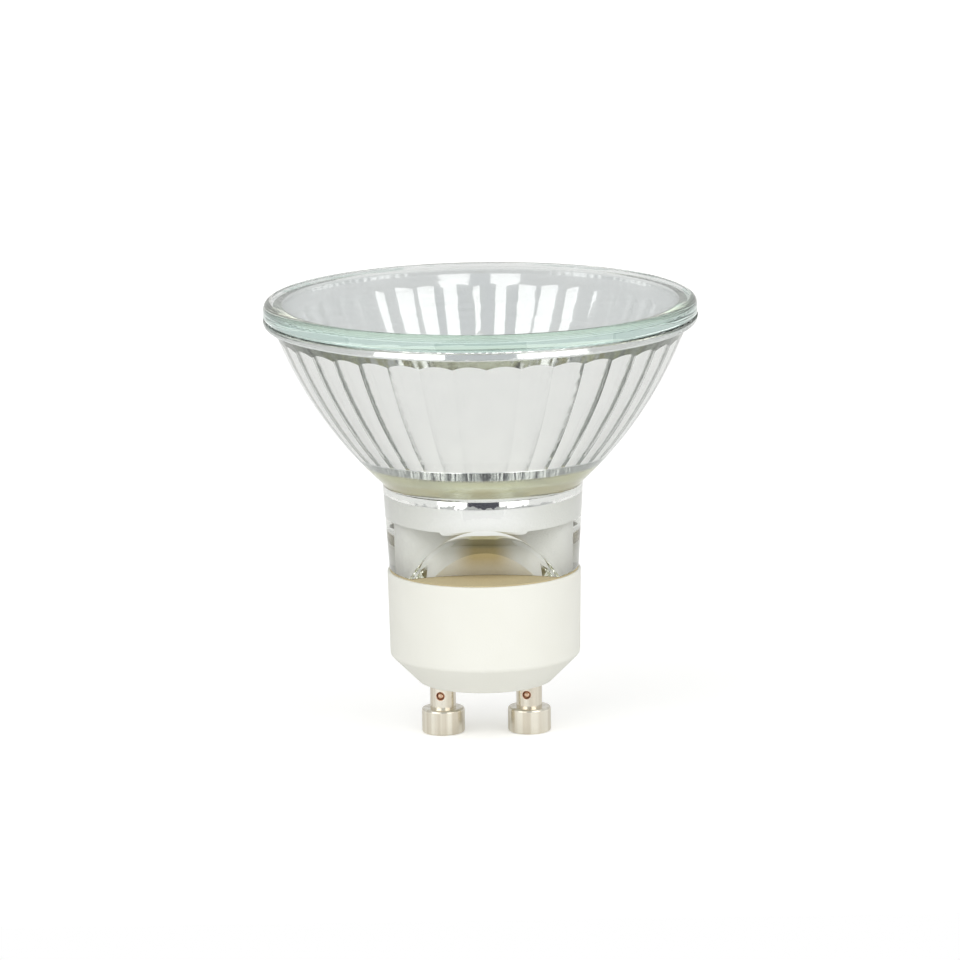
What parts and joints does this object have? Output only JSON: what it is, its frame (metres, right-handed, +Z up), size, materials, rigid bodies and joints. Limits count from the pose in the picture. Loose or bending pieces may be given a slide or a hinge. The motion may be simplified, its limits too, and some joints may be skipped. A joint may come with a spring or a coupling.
{
  "type": "reflector lamp bulb",
  "caption": "Clear glass reflector lamp with a fluted bowl, flat front glass and white ceramic base on two round twist-lock contact pins",
  "frame": {"origin": "on the lamp's axis, in the plane that its two pin feet stand on", "axes": "+Z up the lamp's axis to the front glass, X through the two contact pins, Y through the two scoops in the neck"},
  "size_m": [0.05, 0.05, 0.0511],
  "materials": {
    "clear_glass": "pressed clear glass, fire polished",
    "front_glass": "flat clear glass, green at its edge",
    "clear_silicone": "thin clear silicone",
    "quartz": "clear quartz",
    "tungsten": "coiled tungsten wire",
    "molybdenum": "drawn wire and rolled foil",
    "nickel_wire": "drawn nickel wire",
    "white_cement": "fine white cement",
    "tan_cement": "fine tan cement",
    "steatite": "unglazed warm white ceramic",
    "nickel_plate": "bright nickel on turned brass",
    "fuse_ceramic": "fired tube"
  },
  "bodies": {
    "root": {"front_glass": "front_glass", "front_glass_adhesive": "clear_silicone", "reflector": "clear_glass", "capsule_envelope": "quartz", "filament": "tungsten", "filament_support": "molybdenum", "inner_lead_left": "molybdenum", "inner_lead_right": "molybdenum", "foil_left": "molybdenum", "foil_right": "molybdenum", "outer_lead_left": "molybdenum", "outer_lead_right": "molybdenum", "capsule_cement": "white_cement", "base_cement": "tan_cement", "ceramic_base": "steatite", "contact_pin_left": "nickel_plate", "contact_pin_right": "nickel_plate", "connecting_wire_left": "nickel_wire", "connecting_wire_right": "nickel_wire", "fuse_wire": "nickel_wire", "fuse_sleeve": "fuse_ceramic"}
  },
  "joints": []
}
